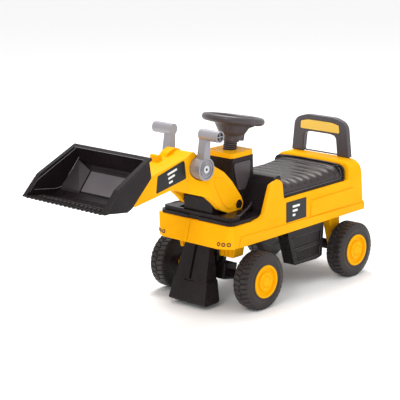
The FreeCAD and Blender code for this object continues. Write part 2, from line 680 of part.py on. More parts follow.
def arm_shell(word, side):
    """One half of the arm: a leg beside the console, the flare and the hollow boom."""
    pivot = size("arm_pivot_y"), size("arm_pivot_z")
    lever = size("lever_pivot_y"), size("lever_pivot_z")
    half, boom, fork = size("arm_half_width"), size("boom_half_width"), size("fork_inner")
    low, high = ("0", "arm_half_width") if side > 0 else ("-1 * arm_half_width", "0")
    body = new_body("arm_shell_" + word)
    side_view = [(-268, 272, 3), (-150, 289, 30), (-112, 274, 30), (-66, 259, 30),
                 (-42, 240, 30), (-24, 222, 30), (14, 206, 26), (40, 207, 15), (54, 222, 16),
                 (44, 242, 20), (14, 281, 30), (-12, 306, 30), (-44, 325, 10), (-84, 361, 8),
                 (-107, 351, 10), (-205, 330, 10), (-256, 324, 6), (-265, 312, 6)]
    pad(body, "YZ_Plane", [outline(side_view)], low, high)
    outside = [(side * boom, -300), (side * boom, -98, 10), (side * 46, -84, 14),
               (side * half, -58, 14), (side * half, 60), (side * 90, 60), (side * 90, -300)]
    pocket(body, "XY_Plane", [outline(outside)], "180", "400")
    for crotch, bottom, top in ((-92, "180", "296"), (-46, "296", "400")):
        between = [(-side, crotch), (side * (fork - 12), crotch, 10),
                   (side * fork, crotch + 16, 10), (side * fork, 60), (-side, 60)]
        pocket(body, "XY_Plane", [outline(between)], bottom, top)
    inside = [(-264, 276), (-150, 293, 30), (-110, 279, 20), (-100, 277), (-100, 350, 3),
              (-110, 346, 10), (-205, 325.5, 5), (-252, 319.5, 5), (-261, 309, 4)]
    chamber = ("0", "boom_half_width - 4") if side > 0 else ("4 - boom_half_width", "0")
    pocket(body, "YZ_Plane", [outline(inside)], *chamber)
    crank_room = [(-101, 301.5), (-52, 301.5), (-52, 326), (-58, 334), (-101, 336)]
    pocket(body, "YZ_Plane", [outline(crank_room)], *chamber)
    seat = ("boom_half_width - 0.5", "arm_half_width + 1")
    if side < 0:
        seat = ("-1 * arm_half_width - 1", "0.5 - boom_half_width")
    pocket(body, "YZ_Plane", [circle(*lever, size("lever_boss_radius") + 1.5)], *seat)
    above = ("boom_half_width", "arm_half_width + 1")
    if side < 0:
        above = ("-1 * arm_half_width - 1", "-1 * boom_half_width")
    pocket(body, "YZ_Plane", [box_outline(-112, -58, 330, 400)], *above)
    through = ("-1 * arm_half_width - 1", "arm_half_width + 1")
    pocket(body, "YZ_Plane", [circle(*lever, size("lever_shaft_radius") + 0.05)], *through)
    pocket(body, "YZ_Plane", [circle(*pivot, 6.05)], *through)
    seat = ("arm_half_width - 4", "arm_half_width + 1")
    if side < 0:
        seat = ("-1 * arm_half_width - 1", "4 - arm_half_width")
    pocket(body, "YZ_Plane", [circle(*pivot, 10.5)], *seat)
    mouth = box_outline(-19, 19, -270, -240)
    pocket(body, "XY_Plane", [mouth], "296", "342")
    if side < 0:
        stop = outline([(-149, 340), (-146, 357, 4), (-137, 356, 4), (-134, 343)])
        pad(body, "YZ_Plane", [stop], "-34", "-10")
        cover = outline([(-124, 345), (-112, 357, 10), (-92, 364.5, 16), (-76, 360, 10), (-62, 338)])
        pad(body, "YZ_Plane", [cover], "-34", "-12")


def bucket_bracket(word, side):
    """A cheek on the boom's end that holds the bucket's pin."""
    pin_y, pin_z = size("bucket_pin_y"), size("bucket_pin_z")
    body = doc.addObject("PartDesign::Body", "bucket_bracket_" + word)
    cheek = [(pin_y - 9.5, pin_z - 7, 6), (pin_y + 4, pin_z - 7), (pin_y + 10, pin_z - 4),
             (-268, 314), (-262, 298), (-248, 298), (-248, 278.6), (-226, 281.9),
             (-226, 316), (-262, 323), (pin_y + 2, pin_z + 9, 7), (pin_y - 9.5, pin_z + 9, 7)]
    low, high = ("8", "18") if side > 0 else ("-18", "-8")
    pad(body, "YZ_Plane", [outline(cheek)], low, high)
    pocket(body, "YZ_Plane", [circle(pin_y, pin_z, 4.05)], "-19", "19")
    return body


def arm_pivot():
    """The headed steel bolts that carry the legs, and the dark caps over their ends."""
    y, z = size("arm_pivot_y"), size("arm_pivot_z")
    bolts, caps = [], []
    for word, side in SIDES:
        bolt = doc.addObject("PartDesign::Body", "arm_pivot_bolt_" + word)
        bolts.append(bolt)
        shank = ("34", "57") if side > 0 else ("-57", "-34")
        head = ("34", "37.9") if side > 0 else ("-37.9", "-34")
        pad(bolt, "YZ_Plane", [circle(y, z, 6)], *shank)
        pad(bolt, "YZ_Plane", [circle(y, z, 9)], *head)
    group("arm_pivot_bolts", bolts)
    for word, side in SIDES:
        body = doc.addObject("PartDesign::Body", "arm_pivot_cap_" + word)
        caps.append(body)
        low, high = ("57.02", "61.5") if side > 0 else ("-61.5", "-57.02")
        pad(body, "YZ_Plane", [circle(y, z, 9.5)], low, high)
        cross = [outline([(y - 4, z - 1), (y + 4, z - 1), (y + 4, z + 1), (y - 4, z + 1)])]
        deep = ("60", "62") if side > 0 else ("-62", "-60")
        pocket(body, "YZ_Plane", cross, *deep)
    group("arm_pivot_caps", caps)


def boom_decal(word, side):
    """A thin plain label on the boom's side."""
    body = doc.addObject("PartDesign::Body", "boom_decal_" + word)
    face = size("boom_half_width")
    view = outline([(-201, 289, 2), (-196, 326, 3), (-114, 347, 5), (-109, 306, 3)])
    low, high = (face + 0.02, face + 0.8) if side > 0 else (-face - 0.8, -face - 0.02)
    pad(body, "YZ_Plane", [view], "%.2f" % low, "%.2f" % high)
    return body


def tilt_lever(word, side):
    """A hand lever: round boss, flat stem leaning back and a hollow ribbed grip."""
    y, z = size("lever_pivot_y"), size("lever_pivot_z")
    boss, grip = size("lever_boss_radius"), size("grip_radius")
    grip_y, grip_z = y + 8, z + 74
    body = new_body("tilt_lever_" + word)
    low, high = ("36", "lever_outer") if side > 0 else ("-1 * lever_outer", "-36")
    pad(body, "YZ_Plane", [circle(y, z, boss)], low, high)
    stem = outline([(y - 13, z), (y + 11, z), (grip_y + 7, grip_z), (grip_y - 7, grip_z)])
    low, high = ("42", "62") if side > 0 else ("-62", "-42")
    pad(body, "YZ_Plane", [stem], low, high)
    low, high = ("42", "grip_end") if side > 0 else ("-1 * grip_end", "-42")
    pad(body, "YZ_Plane", [circle(grip_y, grip_z, grip)], low, high)
    end = ("grip_end - 22", "grip_end + 1") if side > 0 else ("-1 * grip_end - 1", "22 - grip_end")
    pocket(body, "YZ_Plane", [circle(grip_y, grip_z, grip - 2.5)], *end)
    ribs = box_outline(grip_y - grip + 1, grip_y + grip - 1, grip_z - 1, grip_z + 1)
    cross = box_outline(grip_y - 1, grip_y + 1, grip_z - grip + 1, grip_z + grip - 1)
    end = ("grip_end - 23", "grip_end - 1") if side > 0 else ("1 - grip_end", "23 - grip_end")
    pad(body, "YZ_Plane", [ribs], *end)
    pad(body, "YZ_Plane", [cross], *end)
    face = ("lever_outer - 2", "lever_outer + 1") if side > 0 else ("-1 * lever_outer - 1", "2 - lever_outer")
    pocket(body, "YZ_Plane", [circle(y, z, boss - 3), circle(y, z, 10)], *face)
    pocket(body, "YZ_Plane", [circle(y, z, size("lever_shaft_radius"))], "-64", "64")
    face = ("60", "64") if side > 0 else ("-64", "-60")
    pocket(body, "YZ_Plane", [circle(y, z, 8.05)], *face)


def lever_shaft():
    """The steel cross shaft that joins both levers, with its end bolts and its crank."""
    y, z, crank = size("lever_pivot_y"), size("lever_pivot_z"), size("crank_radius")
    cylinder("lever_shaft", "lever_shaft_radius", "120", along_x(-60, y, z), keep=True)
    bolts = []
    for word, side in SIDES:
        head = cylinder("bolt_" + word, "8", "3", along_x(side * 60.02, y, z, side))
        bolts.append(head)
    group("lever_bolts", bolts)
    plates = []
    for word, side in SIDES:
        body = doc.addObject("PartDesign::Body", "crank_" + word)
        low, high = ("6", "10") if side > 0 else ("-10", "-6")
        arm = outline([(y - 6, z - crank - 6, 5), (y + 6, z - crank - 6, 5), (y + 7, z + 8, 6),
                       (y - 7, z + 8, 6)])
        pad(body, "YZ_Plane", [arm], low, high)
        pocket(body, "YZ_Plane", [circle(y, z, 5.02)], "-11", "11")
        pocket(body, "YZ_Plane", [circle(y, z - crank, 3.02)], "-11", "11")
        plates.append(body)
    group("tilt_crank", plates)
    cylinder("crank_pin", "3", "22", along_x(-11, y, z - crank), keep=True)


def tilt_rod():
    """The flat rod inside the boom from the crank to the bucket's ears."""
    y, z, crank = size("lever_pivot_y"), size("lever_pivot_z"), size("crank_radius")
    pin_y, pin_z = size("bucket_pin_y"), size("bucket_pin_z")
    body = new_body("tilt_rod")
    view = [(y + 6, z - crank + 4.4, 4), (pin_y - 4, pin_z - crank + 4, 3.5),
            (pin_y - 4, pin_z - crank - 4, 3.5), (y + 6, z - crank - 5, 4)]
    pad(body, "YZ_Plane", [outline(view)], "-4", "4")
    pocket(body, "YZ_Plane", [circle(y, z - crank, 3.05)], "-5", "5")
    pocket(body, "YZ_Plane", [circle(pin_y, pin_z - crank, 3.2)], "-5", "5")


def bucket():
    """The flared black bucket, open to the front and top, with a toothed lip."""
    lip, back, wall = size("bucket_lip_half"), size("bucket_back_half"), size("bucket_wall")
    pin_y, pin_z = size("bucket_pin_y"), size("bucket_pin_z")

    flange = 7

    def flared(name, view, inset):
        body = doc.addObject("PartDesign::Body", name)
        pad(body, "YZ_Plane", [outline(view)], "-1 * bucket_lip_half", "bucket_lip_half")
        for side in (1, -1):
            wedge = [(side * (back - inset), -270), (side * (lip - inset + 0.4), -440),
                     (side * 140, -440), (side * 140, -270)]
            pocket(body, "XY_Plane", [outline(wedge)], "270", "420")
        return body

    outside = [(-434, 303), (-394, 345, 10), (-292, 393), (-285, 349, 6), (-346, 297, 8),
               (-360, 292, 8), (-415, 300)]
    rim = [(-434, 303), (-394, 345, 10), (-292, 393), (-289.5, 388), (-391, 339.5, 8),
           (-425, 302)]
    inside = [(-450, 307.5), (-415, 304), (-358, 296.5, 6), (-347, 302, 8),
              (-285 - wall, 351, 5), (-300, 390), (-300, 420), (-450, 420)]
    solid = doc.addObject("Part::Fuse", "bucket_solid")
    solid.Base = flared("bucket_outside", outside, flange)
    solid.Tool = flared("bucket_rim", rim, 0)
    tub = doc.addObject("Part::Cut", "bucket_tub")
    tub.Base = solid
    tub.Tool = flared("bucket_inside", inside, flange + wall)
    pieces = [tub]
    for number in range(18):
        tooth = doc.addObject("PartDesign::Body", "tooth_%d" % number)
        middle = (number - 8.5) * 12.6
        wedge = [(middle - 4, -419), (middle + 4, -419), (middle + 2.5, -433.5),
                 (middle - 2.5, -433.5)]
        pad(tooth, "XY_Plane", [outline(wedge)], "301.5", "306")
        pieces.append(tooth)
    for side in (1, -1):
        ear = doc.addObject("PartDesign::Body", "ear_%d" % (side + 1))
        view = [(pin_y + 9, pin_z - 21, 7), (pin_y + 9, pin_z + 9, 7),
                (pin_y - 5.1, pin_z + 24.4), (pin_y - 52.3, pin_z - 15.9)]
        low, high = sorted((side * 21, side * 28))
        pad(ear, "YZ_Plane", [outline(view)], str(low), str(high))
        pieces.append(ear)
    whole = doc.addObject("Part::MultiFuse", "bucket_whole")
    whole.Shapes = pieces
    bore = cylinder("bucket_bore", "4", "80", along_x(-40, pin_y, pin_z))
    crank_bore = cylinder("bucket_crank_bore", "3", "80",
                          along_x(-40, pin_y, pin_z - size("crank_radius")))
    cut("bucket", whole, [bore, crank_bore])
    cylinder("bucket_pin", "4", "62", along_x(-31, pin_y, pin_z), keep=True)
    cylinder("bucket_crank_pin", "3", "62",
             along_x(-31, pin_y, pin_z - size("crank_radius")), keep=True)


for word, side in SIDES:
    arm_shell(word, side)
    tilt_lever(word, side)
group("bucket_brackets", [bucket_bracket(word, side) for word, side in SIDES])
group("boom_decals", [boom_decal(word, side) for word, side in SIDES])
arm_pivot()
lever_shaft()
tilt_rod()
bucket()

# ---------------------------------------------------------------- check and write

def write_parts():
    """Checks every object, then writes one STEP file for each node."""
    doc.recompute()
    for item in doc.Objects:
        if "Invalid" in item.State or "Error" in item.State:
            raise RuntimeError("%s failed: %s" % (item.Label, item.State))
    for label, item in nodes.items():
        if item.Shape.isNull() or not item.Shape.isValid():
            raise RuntimeError("%s has no valid shape" % label)
    os.makedirs("parts", exist_ok=True)
    for label, item in nodes.items():
        item.Shape.exportStep(os.path.join("parts", label + ".step"))
        print(label, len(item.Shape.Solids), round(item.Shape.Volume / 1000, 1))


write_parts()
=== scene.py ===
import bpy
import bmesh
import json
import math
from mathutils import Matrix, Vector
from mathutils.bvhtree import BVHTree


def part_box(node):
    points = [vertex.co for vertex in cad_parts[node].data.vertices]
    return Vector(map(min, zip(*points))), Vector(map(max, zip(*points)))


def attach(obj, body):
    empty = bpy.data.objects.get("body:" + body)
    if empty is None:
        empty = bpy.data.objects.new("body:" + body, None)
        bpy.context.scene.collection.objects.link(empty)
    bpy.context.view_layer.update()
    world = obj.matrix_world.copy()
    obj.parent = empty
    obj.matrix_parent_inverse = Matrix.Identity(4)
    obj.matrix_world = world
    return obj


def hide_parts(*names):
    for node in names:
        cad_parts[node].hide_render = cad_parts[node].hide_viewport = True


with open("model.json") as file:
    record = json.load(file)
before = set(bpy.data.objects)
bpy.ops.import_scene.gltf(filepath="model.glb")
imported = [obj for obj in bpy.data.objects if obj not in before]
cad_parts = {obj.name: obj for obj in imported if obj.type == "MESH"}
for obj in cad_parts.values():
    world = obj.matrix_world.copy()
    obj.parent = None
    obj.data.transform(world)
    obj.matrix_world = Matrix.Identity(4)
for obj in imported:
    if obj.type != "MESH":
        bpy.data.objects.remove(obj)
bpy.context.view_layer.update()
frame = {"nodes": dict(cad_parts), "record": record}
nodes = frame["nodes"]
MM = 0.001
SIDES = (("left", 1), ("right", -1))
WHEELS = [(end + "_" + word, side) for end in ("front", "rear") for word, side in SIDES]


# ---------------------------------------------------------------- camera and stage

CAMERA_AZIMUTH, CAMERA_ELEVATION, CAMERA_ROLL = (math.radians(a) for a in (42.64, 14.03, -0.64))
CAMERA_TARGET = Vector((0.0128, -0.040, 0.2414))
CAMERA_DISTANCE = 3.1354
CAMERA_LENS = 127.95
CAMERA_SENSOR = 36
LIGHTS = (("key", (0.6, -2.4, 2.4), 1.1, 30), ("top", (-0.8, 0.8, 2.4), 1.1, 44),
          ("side", (2.4, 1.6, 1.1), 0.8, 9))
LIGHT_TARGET = (0, 0, 0.2)
FLOOR_TONE, FLOOR_ROUGHNESS, FLOOR_REACH = 0.93, 0.9, 9.0


def make_camera():
    """A long lens, looking at the digger from its front left and a little above it."""
    a, e = CAMERA_AZIMUTH, CAMERA_ELEVATION
    back = Vector((math.sin(a) * math.cos(e), -math.cos(a) * math.cos(e), math.sin(e)))
    right = Vector((math.cos(a), math.sin(a), 0))
    up = back.cross(right)
    rolled_right = right * math.cos(CAMERA_ROLL) + up * math.sin(CAMERA_ROLL)
    rolled_up = up * math.cos(CAMERA_ROLL) - right * math.sin(CAMERA_ROLL)
    data = bpy.data.cameras.new("camera")
    data.lens = CAMERA_LENS
    data.sensor_width = CAMERA_SENSOR
    camera = bpy.data.objects.new("camera", data)
    turn = Matrix((rolled_right, rolled_up, back)).transposed().to_4x4()
    camera.matrix_world = Matrix.Translation(CAMERA_TARGET + back * CAMERA_DISTANCE) @ turn
    bpy.context.scene.collection.objects.link(camera)
    bpy.context.scene.camera = camera


def area_light(name, place, target, size, power):
    """A soft square light aimed at a point."""
    data = bpy.data.lights.new(name, "AREA")
    data.shape = "SQUARE"
    data.size = size
    data.energy = power
    light = bpy.data.objects.new(name, data)
    light.location = place
    aim = Vector(target) - Vector(place)
    light.rotation_mode = "QUATERNION"
    light.rotation_quaternion = aim.to_track_quat("-Z", "Y")
    bpy.context.scene.collection.objects.link(light)


def make_stage():
    """A pale floor, a bright even surround and three soft lights."""
    mesh = bpy.data.meshes.new("floor")
    corners = [(x * FLOOR_REACH, y * FLOOR_REACH, 0)
               for x, y in ((-1, -1), (1, -1), (1, 1), (-1, 1))]
    mesh.from_pydata(corners, [], [(0, 1, 2, 3)])
    floor = bpy.data.objects.new("floor", mesh)
    bpy.context.scene.collection.objects.link(floor)
    paint = bpy.data.materials.new("floor_paint")
    paint.use_nodes = True
    shader = paint.node_tree.nodes["Principled BSDF"]
    shader.inputs["Base Color"].default_value = (FLOOR_TONE, FLOOR_TONE, FLOOR_TONE, 1)
    shader.inputs["Roughness"].default_value = FLOOR_ROUGHNESS
    mesh.materials.append(paint)
    world = bpy.data.worlds.new("studio")
    bpy.context.scene.world = world
    world.use_nodes = True
    sky = world.node_tree.nodes["Background"]
    sky.inputs["Color"].default_value = (1, 1, 1, 1)
    sky.inputs["Strength"].default_value = 1.0
    for name, place, width, power in LIGHTS:
        area_light(name, place, LIGHT_TARGET, width, power)
    bpy.context.scene.view_settings.view_transform = "Standard"


# ---------------------------------------------------------------- materials

# Pointiness range over which convex edges are painted paler, a painted highlight.
EDGE_HIGHLIGHT_FROM, EDGE_HIGHLIGHT_TO = 0.52, 0.62
ROUGHNESS_BELOW, ROUGHNESS_ABOVE, ROUGHNESS_LEAST = 0.07, 0.09, 0.05
GRAIN_DEPTH = 0.0003
BEVEL_SAMPLES = 6


def moulded(name, colour, rough=0.38, grain=0.25, speck=900.0, mottle=0.05, edge=0.35,
            soft=0.0008, metallic=0.0, shine=0.5):
    """Moulded plastic or metal: faint colour drift, convex edges painted paler as a painted
    highlight, and a fine grain.
    """
    material = bpy.data.materials.new(name)
    material.use_nodes = True
    tree = material.node_tree
    shader = tree.nodes["Principled BSDF"]
    shader.inputs["Metallic"].default_value = metallic
    shader.inputs["Specular IOR Level"].default_value = shine
    link = tree.links.new

    def add(kind, **values):
        node = tree.nodes.new(kind)
        for key, value in values.items():
            node.inputs[key].default_value = value
        return node

    place = add("ShaderNodeTexCoord")
    drift = add("ShaderNodeTexNoise", Scale=14.0, Detail=3.0, Roughness=0.55)
    link(place.outputs["Object"], drift.inputs["Vector"])
    tones = add("ShaderNodeValToRGB")
    dark = [c * (1 - mottle * 2) for c in colour]
    pale = [min(1.0, c * (1 + mottle) + mottle * 0.02) for c in colour]
    stops = zip(tones.color_ramp.elements, (0.3, 0.7), (dark, pale))
    for stop, position, tone in stops:
        stop.position = position
        stop.color = (*tone, 1)
    link(drift.outputs["Fac"], tones.inputs["Fac"])
    # Painted highlight: convex edges are mixed towards a paler colour, up to the edge amount.
    sharp = add("ShaderNodeNewGeometry")
    edge_highlight = add("ShaderNodeMapRange")
    edge_highlight.inputs["From Min"].default_value = EDGE_HIGHLIGHT_FROM
    edge_highlight.inputs["From Max"].default_value = EDGE_HIGHLIGHT_TO
    edge_highlight.inputs["To Max"].default_value = edge
    link(sharp.outputs["Pointiness"], edge_highlight.inputs["Value"])
    mixed = tree.nodes.new("ShaderNodeMix")
    mixed.data_type = "RGBA"
    link(edge_highlight.outputs["Result"], mixed.inputs["Factor"])
    link(tones.outputs["Color"], mixed.inputs["A"])
    mixed.inputs["B"].default_value = (*[min(1.0, c * 1.25 + 0.03) for c in colour], 1)
    link(mixed.outputs["Result"], shader.inputs["Base Color"])
    scuff = add("ShaderNodeTexNoise", Scale=60.0, Detail=4.0, Roughness=0.6)
    link(place.outputs["Object"], scuff.inputs["Vector"])
    gloss = add("ShaderNodeMapRange")
    gloss.inputs["To Min"].default_value = max(ROUGHNESS_LEAST, rough - ROUGHNESS_BELOW)
    gloss.inputs["To Max"].default_value = rough + ROUGHNESS_ABOVE
    link(scuff.outputs["Fac"], gloss.inputs["Value"])
    link(gloss.outputs["Result"], shader.inputs["Roughness"])
    fine = add("ShaderNodeTexNoise", Scale=speck, Detail=2.0, Roughness=0.5)
    link(place.outputs["Object"], fine.inputs["Vector"])
    relief = add("ShaderNodeBump", Strength=grain, Distance=GRAIN_DEPTH)
    link(fine.outputs["Fac"], relief.inputs["Height"])
    rounded = add("ShaderNodeBevel", Radius=soft)
    rounded.samples = BEVEL_SAMPLES
    link(rounded.outputs["Normal"], relief.inputs["Normal"])
    link(relief.outputs["Normal"], shader.inputs["Normal"])
    return material


# edge sets how strongly each finish's convex edges are painted paler as a painted highlight.
SURFACES = {
    "yellow_plastic": moulded("yellow_plastic", (0.90, 0.402, 0.0), rough=0.30, grain=0.1,
                              mottle=0.03, edge=0.2, soft=0.0014, shine=0.03),
    "black_plastic": moulded("black_plastic", (0.012, 0.0078, 0.0088), rough=0.27, grain=0.25,
                             mottle=0.12, edge=0.12, soft=0.0012, shine=0.13),
    "dark_plastic": moulded("dark_plastic", (0.060, 0.048, 0.052), rough=0.34, grain=0.25,
                            mottle=0.1, edge=0.12, soft=0.0022, shine=0.35),
    "hoop_plastic": moulded("hoop_plastic", (0.066, 0.054, 0.060), rough=0.33, grain=0.2,
                            mottle=0.08, edge=0.1, soft=0.0055, shine=0.4),
    "silver_plastic": moulded("silver_plastic", (0.30, 0.29, 0.31), rough=0.32, grain=0.1,
                              mottle=0.04, edge=0.2, metallic=0.45),
    "tyre_plastic": moulded("tyre_plastic", (0.026, 0.020, 0.020), rough=0.40, grain=0.5,
                            mottle=0.15, edge=0.07, shine=0.25),
    "insert_plastic": moulded("insert_plastic", (0.90, 0.53, 0.075), rough=0.35, grain=0.1,
                              shine=0.3),
    "steel": moulded("steel", (0.55, 0.55, 0.57), rough=0.3, grain=0.1, metallic=1.0),
    "label": moulded("label", (0.007, 0.007, 0.008), rough=0.3, grain=0.05, edge=0.0, shine=0.3),
    "red_button": moulded("red_button", (0.5, 0.035, 0.02), rough=0.3, grain=0.05),
    "pale_button": moulded("pale_button", (0.5, 0.46, 0.42), rough=0.3, grain=0.05),
    "pale_mark": moulded("pale_mark", (0.80, 0.79, 0.76), rough=0.35, grain=0.05, edge=0.0),
    "brown_mark": moulded("brown_mark", (0.075, 0.022, 0.006), rough=0.4, grain=0.05, edge=0.0),
    "bucket_pad": moulded("bucket_pad", (0.085, 0.072, 0.078), rough=0.33, grain=0.25,
                          mottle=0.12, edge=0.15, shine=0.35),
    "bucket_slope": moulded("bucket_slope", (0.034, 0.027, 0.028), rough=0.3, grain=0.25,
                            mottle=0.12, edge=0.1, shine=0.3),
    # Pale grey for thin lines laid on edges, rims and beads as painted highlights.
    "painted_highlight_line": moulded("painted_highlight_line", (0.17, 0.165, 0.175), rough=0.3, grain=0.1, edge=0.1),
    "seat_cover": moulded("seat_cover", (0.024, 0.016, 0.017), rough=0.34, grain=0.3,
                          mottle=0.1, edge=0.0, soft=0.001, shine=0.34),
}


def paint_nodes():
    """Every CAD node takes the material of its slot, and the handle a paler one."""
    for part in frame["record"]["subparts"]:
        mesh = nodes[part["node"]].data
        mesh.materials.clear()
        mesh.materials.append(SURFACES[part["material_slot"]])
    nodes["backrest_handle"].data.materials[0] = SURFACES["hoop_plastic"]


def add_piece(name, mesh, surface, body, smooth=True):
    """A new piece in the row frame that rides on a body and takes a slot's finish."""
    piece = bpy.data.objects.new(name, mesh)
    bpy.context.scene.collection.objects.link(piece)
    mesh.materials.append(SURFACES[surface])
    mesh.polygons.foreach_set("use_smooth", [smooth] * len(mesh.polygons))
    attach(piece, body)
    return piece


def bridge(work, rings, closed):
    """Quads between neighbouring rings of points, and from the last to the first if closed."""
    pairs = list(zip(rings, rings[1:]))
    if closed:
        pairs.append((rings[-1], rings[0]))
    for one, two in pairs:
        for k in range(len(one)):
            after = (k + 1) % len(one)
            work.faces.new((one[k], one[after], two[after], two[k]))


def finished_mesh(name, work):
    """A mesh with its faces turned outwards, from a bmesh that is then freed."""
    bmesh.ops.recalc_face_normals(work, faces=work.faces)
    mesh = bpy.data.meshes.new(name)
    work.to_mesh(mesh)
    work.free()
    return mesh


def in_metres(points, side=1):
    """Points in mm moved to metres, and mirrored in X for side -1."""
    return [(side * x * MM, y * MM, z * MM) for x, y, z in points]


# ---------------------------------------------------------------- tyres

LUGS, STEPS_PER_LUG = 34, 8
TREAD_COLUMNS = 26
GROOVE_WAVE, GROOVE_HALF_WIDTH = 0.10, 0.07
LUG_LEAN, LUG_GAP = 0.35, 0.20
TREAD_DEPTH = 2.4 * MM
SHOULDER, SHOULDER_DROP = 0.86, 2.6


def tread_radius(turn, across, outer):
    """Radius of the tread at an angle (in turns) and a place across it, -1 to 1."""
    wave = GROOVE_WAVE * math.sin(2 * math.pi * turn * LUGS / 2)
    from_middle = abs(across - wave)
    phase = (turn * LUGS + LUG_LEAN * abs(across) + (0.5 if across > wave else 0.0)) % 1.0
    in_centre_groove = from_middle < GROOVE_HALF_WIDTH
    in_cross_groove = phase < LUG_GAP and from_middle > GROOVE_HALF_WIDTH
    radius = outer - TREAD_DEPTH if in_centre_groove or in_cross_groove else outer
    return radius - max(0.0, abs(across) - SHOULDER) / (1 - SHOULDER) * SHOULDER_DROP * MM


def tyre_piece(name, body, centre_y, centre_z, inner_x, outer_x, radius, bore):
    """A tyre whose tread has two rows of lugs and a wavy centre groove."""
    side = 1 if outer_x > 0 else -1
    low, high = abs(inner_x), abs(outer_x)
    middle, half = (low + high) / 2, (high - low) / 2
    inner_wall = [(low + 0.2 * MM, bore), (low, bore + 4 * MM), (low, radius - 14 * MM),
                  (low + 1.2 * MM, radius - 7 * MM)]
    outer_wall = [(high - 1.2 * MM, radius - 7 * MM), (high, radius - 14 * MM),
                  (high, bore + 11 * MM), (high - 0.8 * MM, bore + 9.5 * MM),
                  (high - 0.8 * MM, bore + 5 * MM), (high, bore + 3.5 * MM), (high, bore)]
    places = [-1 + 2 * number / TREAD_COLUMNS for number in range(TREAD_COLUMNS + 1)]
    work = bmesh.new()
    rings = []
    around = LUGS * STEPS_PER_LUG
    for step in range(around):
        turn = step / around
        angle = 2 * math.pi * turn
        tread = [(middle + across * (half - 2.2 * MM), tread_radius(turn, across, radius))
                 for across in places]
        rings.append([work.verts.new((side * x, centre_y + r * math.cos(angle),
                                      centre_z + r * math.sin(angle)))
                      for x, r in inner_wall + tread + outer_wall])
    bridge(work, rings, closed=True)
    return add_piece(name, finished_mesh(name, work), "tyre_plastic", body, smooth=False)


def make_tyres():
    """A treaded tyre in place of each plain one."""
    for wheel, side in WHEELS:
        low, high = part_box("tyre_" + wheel)
        near, far = (low.x, high.x) if side > 0 else (high.x, low.x)
        centre_y, centre_z = (low.y + high.y) / 2, (low.z + high.z) / 2
        bore = (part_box("hub_" + wheel)[1].z - centre_z) - 1.5 * MM
        radius = (high.z - low.z) / 2
        piece = tyre_piece("tread_" + wheel, "wheel_" + wheel, centre_y, centre_z, near, far,
                           radius, bore)
        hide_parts("tyre_" + wheel)


# ---------------------------------------------------------------- seat

SEAT_CROWN = ((0.0, 266.0), (0.02, 270.5), (0.05, 270.0), (0.10, 262.0), (0.18, 257.0),
              (0.30, 254.5), (0.70, 254.5), (0.92, 258.5), (1.0, 262.0))


def seat_top(along):
    """Height of the seat's middle line in metres, from 0 at the front to 1 at the back."""
    for (start, low), (end, high) in zip(SEAT_CROWN, SEAT_CROWN[1:]):
        if along <= end:
            s = (along - start) / (end - start)
            s = s * s * (3 - 2 * s)
            return (low + (high - low) * s) * MM
    return SEAT_CROWN[-1][1] * MM


SEAT_HALF_WIDTH = 0.1005
SEAT_COLUMNS, SEAT_ROWS = 76, 168
SEAT_START = 0.0015
CHANNELS, CHANNEL_WIDTH, CHANNEL_DEPTH, CHANNEL_BOW = 9, 0.0064, 0.0028, 0.004
CHANNELS_FROM_FRONT, CHANNELS_FROM_REAR = 0.026, 0.014


def channel_depth(across, y, first, last):
    """How deep the seat's cross channels are at a place."""
    depth = 0.0
    for number in range(CHANNELS):
        line_y = first + (last - first) * number / (CHANNELS - 1) - CHANNEL_BOW * across ** 2
        near = abs(y - line_y) / CHANNEL_WIDTH
        if near < 1:
            edge = min(1.0, (1 - abs(across)) / 0.03)
            depth += CHANNEL_DEPTH * (0.5 + 0.5 * math.cos(math.pi * near)) * edge
    return depth


def seat_cushion(low, rear, flange_top):
    """The pad: flat on top, with rounded shoulders and nine cross channels."""
    first, last = low.y + CHANNELS_FROM_FRONT, rear - CHANNELS_FROM_REAR
    work = bmesh.new()
    grid = []
    for row in range(SEAT_ROWS + 1):
        y = low.y + SEAT_START + (rear - low.y - SEAT_START) * row / SEAT_ROWS
        front = min(1.0, (y - low.y - 0.0005) / 0.009)
        front = math.sqrt(max(0.0, 1 - (1 - front) ** 2))
        height = seat_top((y - low.y) / (rear - low.y)) - flange_top
        line = []
        for column in range(SEAT_COLUMNS + 1):
            across = -1 + 2 * column / SEAT_COLUMNS
            fall = math.sqrt(max(0.0, 1 - abs(across) ** 7))
            rise = height * fall * front - channel_depth(across, y, first, last)
            line.append(work.verts.new((SEAT_HALF_WIDTH * across, y,
                                        flange_top + max(rise, 0.0))))
        grid.append(line)
    for near, far in zip(grid, grid[1:]):
        for column in range(SEAT_COLUMNS):
            work.faces.new((near[column], near[column + 1], far[column + 1], far[column]))
    border = grid[0] + [line[-1] for line in grid[1:]] + grid[-1][-2::-1]
    border += [line[0] for line in grid[-2:0:-1]]
    below = [work.verts.new((v.co.x, v.co.y, low.z + 1.0 * MM)) for v in border]
    for index, vert in enumerate(border):
        after = (index + 1) % len(border)
        work.faces.new((vert, below[index], below[after], border[after]))
    work.faces.new(list(reversed(below)))
    mesh = finished_mesh("seat_cushion", work)
    return add_piece("seat_cushion", mesh, "seat_cover", "seat")


def make_seat_rim(rear):
    """The raised rim across the seat's rear, drawn upright in X and Z."""
    arch = [(105, 230), (105, 250)]
    arch += [(105 - 18 * (1 - math.cos(a)), 248 + 16 * math.sin(a))
             for a in (0.25, 0.5, 0.75, 1.0, 1.25, 1.5)]
    arch += [(60, 265.5), (20, 266)]
    outline = [(x * MM, z * MM) for x, z in arch]
    outline += [(-x, z) for x, z in reversed(outline)]
    upright = Matrix(((1, 0, 0, 0), (0, 0, -1, rear), (0, 1, 0, 0), (0, 0, 0, 1)))
    make_plate("seat_rim", "black_plastic", "seat", outline, 0.0, 6.0 * MM, 1.6 * MM, upright)


